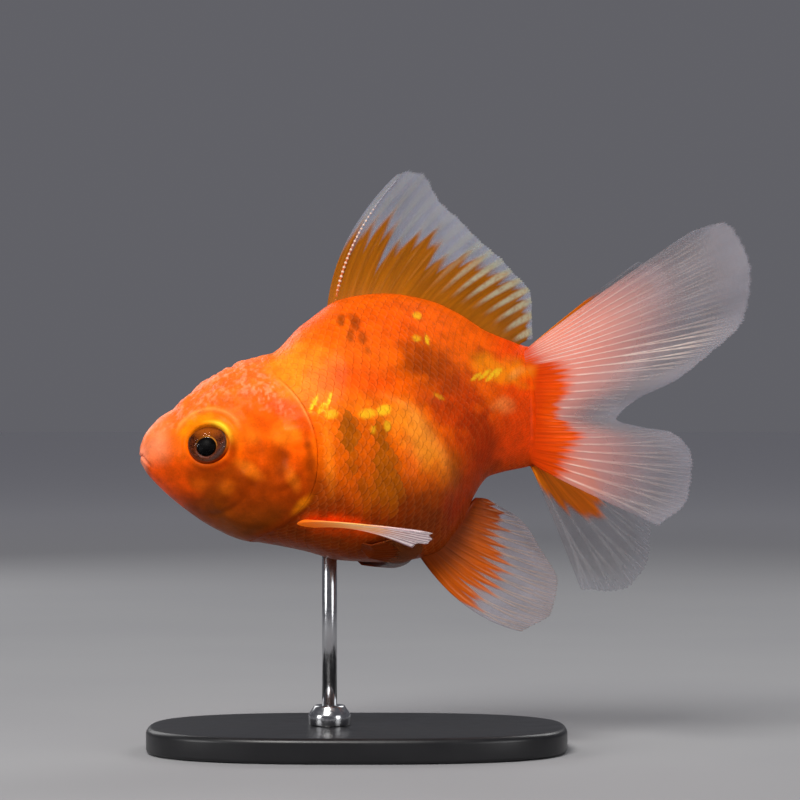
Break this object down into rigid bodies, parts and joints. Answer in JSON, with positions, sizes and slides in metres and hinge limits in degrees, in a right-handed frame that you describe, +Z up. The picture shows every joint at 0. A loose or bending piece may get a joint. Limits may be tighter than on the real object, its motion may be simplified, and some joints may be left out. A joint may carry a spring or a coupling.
{
  "type": "fancy goldfish",
  "caption": "Life-size still model of an orange fancy goldfish with a deep round body and a spread twin tail, swimming over a flat display base on a short rod.",
  "frame": {"origin": "centre of the underside of the stand's flat base", "axes": "+X from the snout towards the tail, -Y the fish's left side, which the picture shows, +Z up"},
  "size_m": [0.1223, 0.0694, 0.116],
  "materials": {
    "skin": "wet-looking orange scaled skin with brown blotches and gold scales",
    "lips": "soft pink orange lips",
    "eye": "polished dark eye with a thin gold ring",
    "fin": "clear lilac-white fin with cream rays and an orange base",
    "stand_base": "satin black",
    "stand_steel": "brushed"
  },
  "bodies": {
    "root": {"lip_upper": "lips", "lip_lower": "lips", "head": "skin", "gill_cover_left": "skin", "gill_cover_right": "skin", "trunk": "skin", "tail_stalk": "skin", "eye_left": "eye", "eye_right": "eye", "dorsal_fin": "fin", "anal_fin": "fin", "pectoral_fin_left": "fin", "pectoral_fin_right": "fin", "pelvic_fin_left": "fin", "pelvic_fin_right": "fin", "tail_fin_left": "fin", "tail_fin_right": "fin", "stand_base": "stand_base", "stand_collar": "stand_steel", "stand_rod": "stand_steel"}
  },
  "joints": []
}
